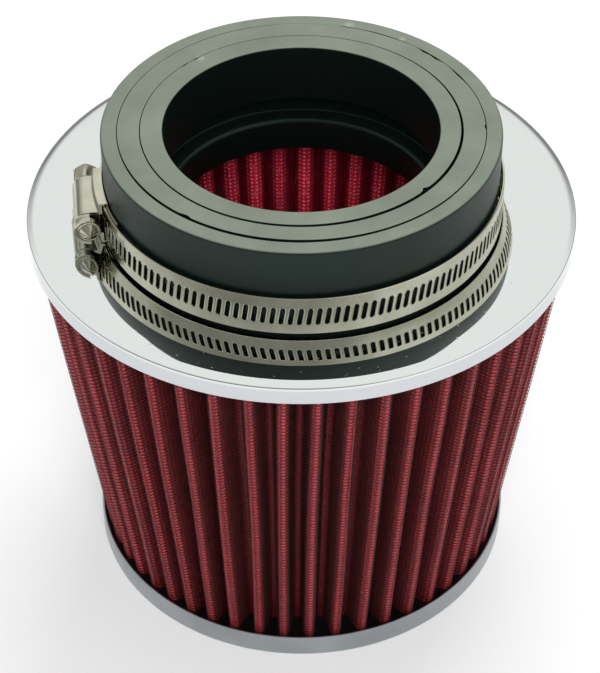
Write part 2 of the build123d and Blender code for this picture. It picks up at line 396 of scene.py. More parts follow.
# Threads about 0.3 mm thick, seen as a fine grain, and oil patches a few centimetres wide
thread = add(tree, "TexNoise", {"Vector": strip_map, "Scale": 4.5, "Detail": 2.0}).outputs["Fac"]
oil = add(tree, "TexNoise", {"Vector": strip_map, "Scale": 0.06, "Detail": 3.0}).outputs["Fac"]
mottle = add(tree, "Math", {0: thread, 1: oil}, operation="ADD").outputs[0]
mottle_range = {"From Min": 0.7, "From Max": 1.3, "To Min": 0.62, "To Max": 1.26}
share = add(tree, "MapRange", {"Value": mottle, **mottle_range}).outputs["Result"]
tones = {"Factor": 1.0, mix_a: tone, mix_b: share}
dyed = add(tree, "Mix", tones, data_type="RGBA", blend_type="MULTIPLY").outputs[mixed]
bump = add(tree, "Bump", {"Height": bead, "Strength": 0.5, "Distance": 0.0003}).outputs["Normal"]
shader = add(
    tree,
    "BsdfPrincipled",
    {
        "Base Color": dyed,
        "Roughness": 0.55,
        "Specular IOR Level": 0.4,
        "Subsurface Weight": 0.35,
        "Subsurface Radius": (1.0, 0.3, 0.3),
        "Subsurface Scale": 0.0006,
        "Sheen Weight": 0.2,
        "Sheen Roughness": 0.4,
        "Sheen Tint": linear("E0606A"),
        "Normal": bump,
    },
)
add(tree, "OutputMaterial", {"Surface": shader.outputs["BSDF"]})

media = fit("pleated_cotton", mesh, red_cotton, "filter", "cotton_media")


# Wire screens. Woven from thin wire, 1.35 mm apart, and pleated together with the cotton:
# a coated screen holds it from outside, and a bare one from inside.
wire_r = 0.09
wire_back = 0.6
wire_gap = 0.4
weave_step = 0.12


def strands(name, paths, closed):
    """Three-sided strands along paths of (point, outward, sideways) steps."""
    points, faces = [], []
    for path in paths:
        start = len(points)
        for spot, out, side in path:
            points.append(spot + out * wire_r)
            points.append(spot - out * wire_r * wire_back + side * wire_r)
            points.append(spot - out * wire_r * wire_back - side * wire_r)
        count = len(path)
        for here in range(count if closed else count - 1):
            on = (here + 1) % count
            for corner in range(3):
                low, high = start + here * 3, start + on * 3
                next_corner = (corner + 1) % 3
                faces.append((low + corner, high + corner, high + next_corner, low + next_corner))
    mesh = bpy.data.meshes.new(name)
    mesh.from_pydata(np.array(points) * 0.001, [], faces)
    mesh.shade_smooth()
    # How squarely each strand faces outward, which is most on the crests of the pleats
    crest = []
    for path in paths:
        for spot, out, _ in path:
            crest += [abs(float(out[:2] @ spot[:2])) / math.hypot(*spot[:2])] * 3
    facing = mesh.uv_layers.new(name="crest").uv
    for loop in mesh.loops:
        facing[loop.index].vector = (crest[loop.vertex_index], 0.5)
    return mesh


def raised(flat, height):
    """Flat points as points in space at one height."""
    return np.column_stack([flat, np.full(len(flat), height)])


def round_wires(name, offset):
    """Wires that run round the filter, in and out of every pleat."""
    paths = []
    # The lowest wire lies in the seal
    for level in range(1, wires_round):
        height = sunk_z + (level + 0.5) * (media_high - sunk_z) / wires_round
        line, facing = fold_line(height, offset, 3, 1)
        side = np.tile((0.0, 0.0, 1.0), (len(line), 1))
        paths.append(list(zip(raised(line, height), raised(facing, 0), side)))
    return strands(name, paths, True)


def upright_wires(name, offset, spans=5):
    """Wires that run up the pleats from the base to the end disc."""
    middle, _ = fold_line((media_low + media_high) / 2, 0, 4, 6)
    travel = np.append(0, np.cumsum(np.hypot(*(np.roll(middle, -1, 0) - middle).T)))
    at = (np.arange(wires_up) + 0.5) * travel[-1] / wires_up
    here = np.searchsorted(travel, at) - 1
    on = (here + 1) % len(middle)
    share = ((at - travel[here]) / (travel[here + 1] - travel[here]))[:, None]
    stack = []
    for span in range(spans + 1):
        height = sunk_z + (media_high - sunk_z) * span / spans
        line, facing = fold_line(height, offset, 4, 6)
        spot = line[here] * (1 - share) + line[on] * share
        out = facing[here] * (1 - share) + facing[on] * share
        out = out / np.hypot(out[:, 0], out[:, 1])[:, None]
        side = np.column_stack([-out[:, 1], out[:, 0]])
        stack.append((raised(spot, height), raised(out, 0), raised(side, 0)))
    paths = [[(spot[n], out[n], side[n]) for spot, out, side in stack] for n in range(wires_up)]
    return strands(name, paths, False)


# Epoxy-coated wire: almost black, and red along the crests of the pleats
coated_wire, tree = new_finish("wire_epoxy_coated")
place = add(tree, "TexCoord").outputs["Object"]
crest = add(tree, "SeparateXYZ", {"Vector": add(tree, "UVMap", uv_map="crest").outputs["UV"]}).outputs["X"]
# Coating thickness varies over a few millimetres
coat = add(tree, "TexNoise", {"Vector": place, "Scale": 400.0, "Detail": 2.0}).outputs["Fac"]
plain = add(tree, "ValToRGB", {"Fac": coat}, [(0.3, "1E1310"), (0.75, "34221D")]).outputs["Color"]
crest_red = add(tree, "ValToRGB", {"Fac": coat}, [(0.3, "701C23"), (0.75, "963139")]).outputs["Color"]
share = add(tree, "MapRange", {"Value": crest, "From Min": 0.72, "From Max": 0.94}).outputs["Result"]
tone = add(tree, "Mix", {"Factor": share, mix_a: plain, mix_b: crest_red}, data_type="RGBA").outputs[mixed]
shader = add(tree, "BsdfPrincipled", {"Base Color": tone, "Roughness": 0.5, "IOR": 1.5})
add(tree, "OutputMaterial", {"Surface": shader.outputs["BSDF"]})

# Bare aluminium wire of the inner screen, dyed red by the oil, with painted light and pink glints on the
# crests of the pleats and painted shade on the flanks
dyed_wire, tree = new_finish("wire_aluminium_oiled")
place = add(tree, "TexCoord").outputs["Object"]
# The oil's unevenness and the painted glints lie in spots of about 1.4 mm
oil_and_glint_spots = add(tree, "TexNoise", {"Vector": place, "Scale": 700.0, "Detail": 2.0}).outputs["Fac"]
crest = add(tree, "SeparateXYZ", {"Vector": add(tree, "UVMap", uv_map="crest").outputs["UV"]}).outputs["X"]
# Painted shade on the flanks; painted light and pink glints on the crests
flank_reds = [(0.35, "8A0E24"), (0.6, "B01E3A"), (0.76, "E07084")]
shaded = add(tree, "ValToRGB", {"Fac": oil_and_glint_spots}, flank_reds).outputs["Color"]
crest_reds = [(0.35, "F42A4C"), (0.6, "FF5470"), (0.76, "FFC4CC")]
shining = add(tree, "ValToRGB", {"Fac": oil_and_glint_spots}, crest_reds).outputs["Color"]
share = add(tree, "MapRange", {"Value": crest, "From Min": 0.66, "From Max": 0.985}).outputs["Result"]
tone = add(tree, "Mix", {"Factor": share, mix_a: shaded, mix_b: shining}, data_type="RGBA").outputs[mixed]
shader = add(tree, "BsdfPrincipled", {"Base Color": tone, "Roughness": 0.35, "IOR": 1.47})
add(tree, "OutputMaterial", {"Surface": shader.outputs["BSDF"]})

for side, away, node, wire in (
    ("outer", 1, "outer_wire_screen", coated_wire),
    ("inner", -1, "inner_wire_screen", dyed_wire),
):
    offset = away * (cotton / 2 + wire_gap)
    name = side + "_round_wires"
    fit(name, round_wires(name, offset), wire, "filter", node)
    name = side + "_upright_wires"
    fit(name, upright_wires(name, offset - away * weave_step), wire, "filter", node)


# Rubber neck. Moulded in one with the end disc, which holds the pleats' upper ends.
# The neck takes the pipe or the reducer rings, and a soft lip inside guides the air.
top_z = 148.5
ledge_z = 130.7
stop_z = 123.6
lip_low_z = 112.5
pipe_r = 38.1
middle_r = 44.45
large_r = 50.8
neck_r = 55.3
stop_r = middle_r - 1.95
lip_top_r = pipe_r - 1.1
lip_low_r = pipe_r + 0.1
lip_outer_r = middle_r + 1.55
joint_edge = 0.12
clear = 0.3
wall_swell = 0.06
wall_ripple = 0.03
ring_neck_z = 121.1
ring_inner_r = 55.6
ring_crest_r = 65.4
ring_crest_z = 123.0
ring_roll_r = 75.5
ring_roll_z = 122.7
ring_edge_z = 121.9
ring_r = 77.5
disc_r = 76.1


def neck_wear(angle, r, z):
    """Slightly uneven moulded wall."""
    if z > ring_crest_z:
        r += wall_swell * math.sin(3 * angle + 1.1) + wall_ripple * math.sin(7 * angle)
    return r, z


# Moulded rubber: near black and satin, with the mould's fine grain; a painted pale sheen on the top faces
# that look up, for the light they catch
black_rubber, tree = new_finish("rubber_moulded_satin")
place = add(tree, "TexCoord").outputs["Object"]
# Mould grain about 0.5 mm, and the painted sheen in patches of about 15 mm
grain = add(tree, "TexNoise", {"Vector": place, "Scale": 2000.0, "Detail": 2.0}).outputs["Fac"]
cloudy = {"Vector": place, "Scale": 65.0, "Detail": 5.0, "Roughness": 0.6}
patch_noise = add(tree, "TexNoise", cloudy).outputs["Fac"]
# Painted sheen: the open top faces are coloured pale where they look up
facing = add(tree, "SeparateXYZ", {"Vector": add(tree, "TexCoord").outputs["Normal"]}).outputs["Z"]
upward = add(tree, "MapRange", {"Value": facing, "From Min": 0.55, "From Max": 0.95}).outputs["Result"]
patch_range = {"From Min": 0.3, "From Max": 0.7, "To Min": 0.75, "To Max": 1.0}
patches = add(tree, "MapRange", {"Value": patch_noise, **patch_range}).outputs["Result"]
height = add(tree, "SeparateXYZ", {"Vector": place}).outputs["Z"]
outside = add(tree, "MapRange", {"Value": height, "From Min": 0.144, "From Max": 0.147}).outputs["Result"]
open_top = add(tree, "Math", {0: upward, 1: outside}, operation="MULTIPLY").outputs[0]
painted_top_sheen = add(tree, "Math", {0: open_top, 1: patches}, operation="MULTIPLY").outputs[0]
tone = add(tree, "ValToRGB", {"Fac": painted_top_sheen}, [(0.0, "0A1311"), (1.0, "767E71")]).outputs["Color"]
# Pale ragged chips about 2 mm across, broken from the joints' edges on the top face, as radius,
# angle and size
for r, angle, size in ((51.9, 75.0, 3.0), (43.6, 132.0, 2.6), (51.6, 56.0, 2.0)):
    turn = math.radians(angle)
    spot = [0.001 * r * math.cos(turn), 0.001 * r * math.sin(turn), 0.001 * top_z]
    off = add(tree, "VectorMath", {0: place, 1: spot}, operation="DISTANCE").outputs["Value"]
    ragged = add(tree, "Math", {0: grain, 1: 0.003, 2: off}, operation="MULTIPLY_ADD").outputs[0]
    chip_edge = {"From Min": 0.0014 + 0.0001 * size, "From Max": 0.0014 + 0.0007 * size}
    chip = add(tree, "MapRange", {"Value": ragged, **chip_edge, "To Min": 0.6, "To Max": 0.0})
    tones = {"Factor": chip.outputs["Result"], mix_a: tone, mix_b: linear("A3A497")}
    tone = add(tree, "Mix", tones, data_type="RGBA").outputs[mixed]
rough = add(tree, "MapRange", {"Value": patch_noise, "To Min": 0.34, "To Max": 0.46}).outputs["Result"]
bump = add(tree, "Bump", {"Height": grain, "Strength": 0.25, "Distance": 0.00012}).outputs["Normal"]
shader = add(
    tree,
    "BsdfPrincipled",
    {
        "Base Color": tone,
        "Roughness": rough,
        "Specular IOR Level": 0.36,
        "Specular Tint": linear("DEFFEC"),
        "Normal": bump,
    },
)
add(tree, "OutputMaterial", {"Surface": shader.outputs["BSDF"]})

neck_outline = [
    (large_r, top_z, joint_edge),
    (large_r, ledge_z, 0),
    (stop_r, ledge_z, 0.6),
    (stop_r, stop_z, 0.6),
    (lip_top_r, stop_z, 1.4),
    (lip_low_r, lip_low_z, 0.4),
    (lip_outer_r, lip_low_z, 0.4),
    (lip_outer_r, media_high, 0),
    (disc_r, media_high, 0.3),
    (disc_r, ring_edge_z - sheet - clear, 0.3),
    (ring_crest_r, ring_crest_z - sheet - clear, 55.0),
    (neck_r, ring_neck_z - sheet - clear, 0),
    (neck_r, top_z, 0.8),
]
neck = lathe("rubber_neck_and_disc", rounded(neck_outline), shift=neck_wear)
fit("rubber_neck_and_disc", neck, black_rubber, "filter", "neck_end_cap")


# Top ring. Pressed from sheet steel, polished and chromed: gently domed between the neck and
# the rim, where a tight corner leads to a short skirt over the upper ends of the pleats.
ring_corner = 0.55
cut_edge = 0.2
skirt_z = 116.6

# Polished chrome: a near mirror with faint hairlines, soft smears and dull specks
bright_chrome, tree = new_finish("chromed_steel_mirror_polished")
place = add(tree, "TexCoord").outputs["Object"]
# Hairlines about 0.4 mm apart, drawn across the ring by the polishing wheel
across = {"Vector": place, "Scale": (90, 2600, 90), "Rotation": (0, 0, 0.12)}
hair_place = add(tree, "Mapping", across).outputs["Vector"]
hair = add(tree, "TexNoise", {"Vector": hair_place, "Scale": 1.0, "Detail": 2.0}).outputs["Fac"]
# Smears about 17 mm long and 4 mm wide
wiped = {"Vector": place, "Scale": (60, 240, 60), "Rotation": (0, 0, 0.5)}
smear_place = add(tree, "Mapping", wiped).outputs["Vector"]
smear = add(tree, "TexNoise", {"Vector": smear_place, "Scale": 1.0, "Detail": 4.0}).outputs["Fac"]
# Specks in a grain of about 1 mm
speck = add(tree, "TexNoise", {"Vector": place, "Scale": 900.0, "Detail": 1.0}).outputs["Fac"]
specks = add(tree, "MapRange", {"Value": speck, "From Min": 0.72, "From Max": 0.8}).outputs["Result"]
haze_range = {"From Min": 0.45, "From Max": 0.75, "To Min": 0.03, "To Max": 0.05}
haze = add(tree, "MapRange", {"Value": smear, **haze_range}).outputs["Result"]
rough = add(tree, "Math", {0: specks, 1: 0.3, 2: haze}, operation="MULTIPLY_ADD").outputs[0]
dome_tones = [(0.35, "E0E4E1"), (0.75, "DEE2E0")]
dome_tone = add(tree, "ValToRGB", {"Fac": smear}, dome_tones).outputs["Color"]
# Painted shade: the skirt is coloured darker than the dome, though it is the same chrome
height = add(tree, "SeparateXYZ", {"Vector": place}).outputs["Z"]
dome = add(tree, "MapRange", {"Value": height, "From Min": 0.1208, "From Max": 0.1214}).outputs["Result"]
tones = {"Factor": dome, mix_a: linear("C9CDD0"), mix_b: dome_tone}
tone = add(tree, "Mix", tones, data_type="RGBA").outputs[mixed]
bump = add(tree, "Bump", {"Height": hair, "Strength": 0.002, "Distance": 0.0002}).outputs["Normal"]
metal = {"Base Color": tone, "Metallic": 1.0, "Roughness": rough, "Normal": bump}
shader = add(tree, "BsdfPrincipled", metal)
add(tree, "OutputMaterial", {"Surface": shader.outputs["BSDF"]})

ring_outline = [
    (ring_inner_r, ring_neck_z, cut_edge),
    (ring_crest_r, ring_crest_z, 57.0),
    (ring_roll_r, ring_roll_z, 4.5),
    (ring_r, ring_edge_z, ring_corner),
    (ring_r, skirt_z, cut_edge),
    (ring_r - sheet, skirt_z, cut_edge),
    (ring_r - sheet, ring_edge_z - sheet, 0),
    (ring_roll_r, ring_roll_z - sheet, 0),
    (ring_crest_r, ring_crest_z - sheet, 0),
    (ring_inner_r, ring_neck_z - sheet, 0),
]
top_ring = lathe("chromed_top_ring", rounded(ring_outline, steps=20), turns=360, crease=60)
fit("chromed_top_ring", top_ring, bright_chrome, "filter", "chrome_top_ring")


# Reducer rings. Two rubber rings, one inside the other, pushed down to the ledge in the neck
# so that it grips a smaller pipe. They sit a little off centre, with the gaps open to the front.

# Each joint's open side, how sharply it closes, and its widest and tightest width
outer_joint = (-97, 3, 0.95, 0.02)
inner_joint = (-60, 1.5, 0.85, 0.02)
outer_nicks = [(29, 0.4, 4.5), (41, 0.7, 2.5), (46, 0.7, 2.0), (63, 0.3, 9)]
outer_nicks += [(75, 0.4, 1.5), (233.5, 0.6, 1.2), (0, 0.4, 0.9)]
inner_nicks = [(-40.5, 0.9, 1.1), (133, 0.5, 1.2), (139, 0.3, 1)]
seat_gap = 0.05
ledge_edge = 0.3
worn_bore_edge = 0.45


def joint_width(angle, toward, sharp, wide, tight, nicks):
    """Width of a joint that opens towards one side, with nicks given as (angle, width, spread)."""
    side = (1 + math.cos(angle - math.radians(toward))) / 2
    width = tight + (wide - tight) * side**sharp
    for place, deep, spread in nicks:
        off = (math.degrees(angle) - place + 180) % 360 - 180
        width += deep * math.exp(-((off / spread) ** 2))
    return width


def outer_ring_place(angle, r, z):
    """The outer ring's wall drawn in by its joint with the neck, its bore just clear of the inner ring."""
    if r > (middle_r + large_r) / 2:
        return r - joint_width(angle, *outer_joint, outer_nicks), z
    return r + seat_gap, z


def inner_ring_place(angle, r, z):
    """The inner ring's wall drawn in by its joint with the outer ring."""
    if r > (pipe_r + middle_r) / 2:
        return r - joint_width(angle, *inner_joint, inner_nicks), z
    return r, z


for name, low_r, high_r, bore_edge, place_of, node in (
    ("outer_reducer_ring", middle_r, large_r, joint_edge, outer_ring_place, "outer_reducer"),
    ("inner_reducer_ring", pipe_r, middle_r, worn_bore_edge, inner_ring_place, "inner_reducer"),
):
    outline = [
        (low_r, ledge_z, ledge_edge),
        (high_r, ledge_z, ledge_edge),
        (high_r, top_z, joint_edge),
        (low_r, top_z, bore_edge),
    ]
    reducer = lathe(name, rounded(outline), shift=place_of)
    fit(name, reducer, black_rubber, "filter", node)


# Clamp band. A strip of stainless steel with pressed slots for most of its length, bent round
# the neck so that its slotted tail passes over its own start and under the screw.
band_width = 12.0
band_sheet = 0.6
band_layer_gap = 0.2
band_low_z = ring_neck_z + 1.3
band_middle_z = band_low_z + band_width / 2
slot_step = 2.45
slot_width = 1.3
slot_length = 5.6
slot_slant = math.radians(8.0)
clamp_turn = math.radians(7.0)
tongue_end = 201.0
joggle_start = 153.0
joggle_end = -137.0
tail_end = -181.2
last_slot = 33.0
edge_round = 0.15
lip_foot_out = 0.26
lip_out = 0.12
lip_rise = 0.09
mouth_rise = 0.03


def clamp_point(x, y, z):
    """A point given with the screw towards -X, turned with the clamp and lifted to its height."""
    return (
        x * math.cos(clamp_turn) - y * math.sin(clamp_turn),
        x * math.sin(clamp_turn) + y * math.cos(clamp_turn),
        z + band_middle_z,
    )


def band_inner_r(angle):
    """The strip starts against the neck and steps out to pass over its own start."""
    share = (joggle_start - angle) / (joggle_start - joggle_end)
    return neck_r + clear + (band_sheet + band_layer_gap) * min(1.0, max(0.0, share))


points, faces = [], []


def on_band(middle, places):
    """Adds points on the strip, given along it from a middle angle, up it and out from its inner face."""
    start = len(points)
    for along, up, lift in places:
        angle = math.radians(middle) + along / (band_inner_r(middle) + band_sheet / 2)
        r = band_inner_r(math.degrees(angle)) + lift
        points.append(clamp_point(r * math.cos(angle), r * math.sin(angle), up))
    return list(range(start, len(points)))


def bridge(loop, next_loop):
    """Faces between two closed loops with as many points."""
    for here in range(len(loop)):
        on = (here + 1) % len(loop)
        faces.append((loop[here], loop[on], next_loop[on], next_loop[here]))


def slot_loop(grow, lift):
    """Outline of one slot, grown all round: two straight sides and two round ends, leaning right."""
    radius = slot_width / 2 + grow
    reach = (slot_length - slot_width) / 2
    outline = [(radius, reach * step) for step in (-1, -0.5, 0, 0.5, 1)]
    for degrees in (30, 60, 90, 120, 150):
        turn = math.radians(degrees)
        outline.append((radius * math.cos(turn), reach + radius * math.sin(turn)))
    outline += [(-along, -up) for along, up in outline]
    c, s = math.cos(slot_slant), math.sin(slot_slant)
    return [(along * c + up * s, up * c - along * s, lift) for along, up in outline]


edge = band_width / 2
flat = edge - edge_round
rim = [(flat, band_sheet), (edge, band_sheet - edge_round), (edge, edge_round), (flat, 0.0)]
steps = round((tongue_end - tail_end) / slot_step)
for step in range(steps):
    middle = tongue_end - slot_step * (step + 0.5)
    half = math.radians(slot_step / 2) * (band_inner_r(middle) + band_sheet / 2)
    border = [(half, up) for up in (-4, -2, 0, 2, 4, flat)]
    border += [(half * share, flat) for share in (0.5, 0, -0.5, -1)]
    border += [(-along, -up) for along, up in border]
    outer = on_band(middle, [(along, up, band_sheet) for along, up in border])
    inner = on_band(middle, [(along, up, 0.0) for along, up in border])
    if middle < last_slot and step < steps - 1:
        # The press has raised a thin lip round each slot
        lip_foot = on_band(middle, slot_loop(lip_foot_out, band_sheet))
        lip = on_band(middle, slot_loop(lip_out, band_sheet + lip_rise))
        mouth = on_band(middle, slot_loop(0.0, band_sheet + mouth_rise))
        back = on_band(middle, slot_loop(0.0, 0.0))
        loops = [outer, lip_foot, lip, mouth, back, inner]
        for loop, next_loop in zip(loops[:-1], loops[1:]):
            bridge(loop, next_loop)
    else:
        faces.append(tuple(outer))
        faces.append(tuple(inner))
    for sign in (-1, 1):
        lines = []
        for share in (1, 0.5, 0, -0.5, -1):
            lines.append(on_band(middle, [(half * share, sign * up, lift) for up, lift in rim]))
        for line, next_line in zip(lines[:-1], lines[1:]):
            for here in range(3):
                faces.append((line[here], next_line[here], next_line[here + 1], line[here + 1]))
outline = rim + [(-up, lift) for up, lift in reversed(rim)]
for end in (tongue_end, tail_end):
    faces.append(tuple(on_band(end, [(0, up, lift) for up, lift in outline])))

# Rolled stainless steel: a warm grey sheen, drawn lengthwise, with handling marks
stainless, tree = new_finish("stainless_steel_rolled")
place = add(tree, "TexCoord").outputs["Object"]
# Rolling lines about 0.3 mm apart up the strip, drawn coarser than real, and stains about 8 mm wide
lines_place = add(tree, "Mapping", {"Vector": place, "Scale": (40, 40, 3600)}).outputs["Vector"]
lines = add(tree, "TexNoise", {"Vector": lines_place, "Scale": 1.0, "Detail": 2.0}).outputs["Fac"]
stain = add(tree, "TexNoise", {"Vector": place, "Scale": 120.0, "Detail": 4.0}).outputs["Fac"]
tone = add(tree, "ValToRGB", {"Fac": stain}, [(0.3, "BDBBA6"), (0.7, "D2D0BF")]).outputs["Color"]
rough = add(tree, "MapRange", {"Value": stain, "To Min": 0.14, "To Max": 0.24}).outputs["Result"]
bump = add(tree, "Bump", {"Height": lines, "Strength": 0.1, "Distance": 0.0002}).outputs["Normal"]
metal = {"Base Color": tone, "Metallic": 1.0, "Roughness": rough, "Normal": bump}
shader = add(tree, "BsdfPrincipled", metal)
add(tree, "OutputMaterial", {"Surface": shader.outputs["BSDF"]})

band = mesh_of("slotted_clamp_band", points, faces, 20)
fit("slotted_clamp_band", band, stainless, "filter", "clamp_band")


# Screw housing. Pressed from the same steel: half a tube over the screw, beaded at its front end,
# on a saddle whose feet follow the band and whose walls wrap its two edges.
screw_axis_r = 60.0
bore_r = 3.25
shell_r = 4.05
housing_front = -15.0
housing_back = 5.0
saddle_front = -11.6
housing_sheet = 0.8
side_clear = 0.05
side_in = band_width / 2 + side_clear
side_out = side_in + band_sheet
foot_in = band_inner_r(-180) + band_sheet + clear
foot_out = foot_in + housing_sheet
edge_bend, edge_bend_cut = 0.35, 0.1
leg_bend, leg_bend_cut = 0.6, 0.2
bore_bend = 0.1
saddle_steps = 12
crown_steps = 16


def saddle_section(place):
    """Section across the saddle: round crown, straight legs, feet along the band and edge walls."""
    wall, under, top = [math.sqrt(r**2 - place**2) for r in (neck_r + clear, foot_in, foot_out)]
    upper_out = [
        (wall, side_out),
        (top - edge_bend, side_out),
        (top - edge_bend_cut, side_out - edge_bend_cut),
        (top, side_out - edge_bend),
        (top, shell_r + leg_bend),
        (top + leg_bend_cut, shell_r + leg_bend_cut),
        (top + leg_bend, shell_r),
    ]
    upper_in = [(wall, side_in), (under, side_in), (under, bore_r + bore_bend), (under + bore_bend, bore_r)]
    crown = [math.pi * step / crown_steps for step in range(crown_steps + 1)]
    outside = [(screw_axis_r + shell_r * math.sin(turn), shell_r * math.cos(turn)) for turn in crown]
    inside = [(screw_axis_r + bore_r * math.sin(turn), bore_r * math.cos(turn)) for turn in crown]
    out_path = upper_out + outside + [(r, -z) for r, z in reversed(upper_out)]
    in_path = upper_in + inside + [(r, -z) for r, z in reversed(upper_in)]
    return out_path, in_path


points, faces = [], []


def loft(rows):
    """Faces along rows of (outer path, inner path) point numbers, closed at both ends."""
    for (outer, inner), (next_outer, next_inner) in zip(rows[:-1], rows[1:]):
        for path, next_path in ((outer, next_outer), (inner, next_inner)):
            for here in range(len(path) - 1):
                faces.append((path[here], path[here + 1], next_path[here + 1], next_path[here]))
        for end in (0, -1):
            faces.append((outer[end], inner[end], next_inner[end], next_outer[end]))
    for outer, inner in (rows[0], rows[-1]):
        faces.append(tuple(outer) + tuple(reversed(inner)))


def add_path(path, place):
    """Adds the points of a path across the screw, at one place along it."""
    start = len(points)
    points.extend(clamp_point(-out, place, z) for out, z in path)
    return list(range(start, len(points)))


rows = []
for step in range(saddle_steps + 1):
    place = saddle_front + (housing_back - saddle_front) * step / saddle_steps
    out_path, in_path = saddle_section(place)
    rows.append((add_path(out_path, place), add_path(in_path, place)))
loft(rows)
# The bare front of the tube carries a bead, a groove and a rolled lip
rows = []
beads = [(housing_front, 0.0), (-14.9, 0.2), (-14.6, 0.3), (-14.2, 0.3), (-13.95, 0.15), (-13.8, -0.1)]
beads += [(-13.5, -0.2), (-13.2, -0.1), (-13.0, 0.15), (-12.7, 0.25), (-12.4, 0.2), (-12.1, 0.02)]
beads += [(saddle_front + 0.3, 0.0)]
# The tube goes a little further round than half a turn
crown = [math.pi * (step / crown_steps * 1.06 - 0.03) for step in range(crown_steps + 1)]
for place, rise in beads:
    paths = []
    for r in (shell_r + rise, bore_r + max(0.0, rise) * 0.4):
        path = [(screw_axis_r + r * math.sin(turn), r * math.cos(turn)) for turn in crown]
        paths.append(add_path(path, place))
    rows.append(tuple(paths))
loft(rows)
housing = mesh_of("clamp_screw_housing", points, faces, 40)
fit("clamp_screw_housing", housing, stainless, "filter", "clamp_housing")


# Worm screw. Turned from steel bar with a rolled thread, two plain journals that run in the
# housing, a pointed nose to the front and a slotted hexagon head behind.
core_r = 2.6
journal_r = 3.2
thread_r = 2.88
thread_step = 2.4
thread_start = -12.95
thread_length = 15.9
thread_middle = -5.0
thread_half = 7.9
thread_fade = 0.5
thread_width, thread_steepness = 2.4, 8.0
thread_stations = 100
head_flats = 6.8
head_slot_depth = 1.8
head_slot_width = 1.2
cutter_reach = 6.0
head_start = housing_back + 1.05
head_end = head_start + 5.5


def screw_point(along, turn, r):
    """A point on the screw, at a turn and a radius about its own axis."""
    return clamp_point(-screw_axis_r - r * math.cos(turn), along, r * math.sin(turn))


def thread_rise(along, turn):
    """Height of the thread above the core, faded out at both journals."""
    phase = (along / thread_step - turn / (2 * math.pi)) % 1.0
    crest = min(1.0, max(0.0, thread_width - abs(phase - 0.5) * thread_steepness))
    fade = min(1.0, max(0.0, (thread_half - abs(along - thread_middle)) / thread_fade))
    return (thread_r - core_r) * crest * fade


around = 48
# Places along the screw with their radius: the nose, a journal, the threaded core, the other
# journal and the collar. The thread gives the core its radius.
nose = [(-17.2, 0.0), (-17.15, 0.35), (-17.0, 0.6), (-16.4, 1.2), (-15.9, 1.75), (-15.5, 2.25)]
front_journal = [(-15.1, core_r), (-15.0, core_r), (-14.98, 3.0), (-14.85, journal_r)]
front_journal += [(-13.1, journal_r), (-13.0, 3.05)]
marks = range(thread_stations + 1)
core = [(thread_start + thread_length * mark / thread_stations, None) for mark in marks]
back_journal = [(3.0, 3.05), (3.1, journal_r), (4.85, journal_r), (4.98, 3.0), (5.0, core_r), (5.05, core_r)]
collar = [(5.06, 3.55), (5.2, 3.7), (5.9, 3.7), (head_start, 3.6), (head_start, 0.0)]
stations = nose + front_journal + core + back_journal + collar
points, faces = [], []
for along, r in stations:
    for step in range(around):
        turn = 2 * math.pi * step / around
        points.append(screw_point(along, turn, core_r + thread_rise(along, turn) if r is None else r))
for row in range(len(stations) - 1):
    bridge(range(row * around, (row + 1) * around), range((row + 1) * around, (row + 2) * around))
screw = mesh_of("worm_screw", points, faces, 40)
fit("worm_screw", screw, stainless, "screw", "clamp_screw")

# The hexagon head, with its corners turned off and a slot for a blade across its end
corner_r = head_flats / 2 / math.cos(math.pi / 6)
sides = 72
rings = [(head_start, 0.35), (head_start + 0.3, 0.05), (head_end - 0.5, 0.05)]
rings += [(head_end - 0.2, 0.3), (head_end, 0.6)]
points, faces = [], []
for along, turned_off in rings:
    for step in range(sides):
        turn = 2 * math.pi * step / sides
        to_side = (turn + math.pi / 6) % (math.pi / 3) - math.pi / 6
        r = min(head_flats / 2 / math.cos(to_side), corner_r - turned_off)
        points.append(screw_point(along, turn, r))
for row in range(len(rings) - 1):
    bridge(range(row * sides, (row + 1) * sides), range((row + 1) * sides, (row + 2) * sides))
faces.append(tuple(range(sides - 1, -1, -1)))
faces.append(tuple(range((len(rings) - 1) * sides, len(rings) * sides)))
blank = bpy.data.objects.new("head_blank", mesh_of("head_blank", points, faces, 30))
work = bmesh.new()
for along in (head_end - head_slot_depth, head_end + 1):
    for across in (-cutter_reach, cutter_reach):
        for up in (-head_slot_width / 2, head_slot_width / 2):
            work.verts.new([c * 0.001 for c in clamp_point(-screw_axis_r + across, along, up)])
bmesh.ops.convex_hull(work, input=work.verts)
cutter = bpy.data.objects.new("slot_cutter", bpy.data.meshes.new("slot_cutter"))
work.to_mesh(cutter.data)
work.free()
for helper in (blank, cutter):
    bpy.context.scene.collection.objects.link(helper)
cut = blank.modifiers.new("slot", "BOOLEAN")
cut.object = cutter
cut.operation = "DIFFERENCE"
cut.solver = "EXACT"
bpy.context.view_layer.update()
head_mesh = bpy.data.meshes.new_from_object(blank.evaluated_get(bpy.context.evaluated_depsgraph_get()))
for helper in (blank, cutter):
    bpy.data.objects.remove(helper)
head_mesh.name = "worm_screw_head"
head_mesh.shade_smooth()
head_mesh.set_sharp_from_angle(angle=math.radians(30))
fit("worm_screw_head", head_mesh, stainless, "screw", "clamp_screw")


# Studio. A white floor that runs out of sight, large soft lights above the back and the front,
# and a white surround for the metal to mirror, greyer towards the camera and near the floor.
floor_half = 6.0
paper_lift = 0.19
room_light = 0.72
floor_mesh = bpy.data.meshes.new("studio_floor")
floor_corners = [(x * floor_half, y * floor_half, 0) for x, y in ((-1, -1), (1, -1), (1, 1), (-1, 1))]
floor_mesh.from_pydata(floor_corners, [], [(0, 1, 2, 3)])
floor = bpy.data.objects.new("studio_floor", floor_mesh)
bpy.context.scene.collection.objects.link(floor)

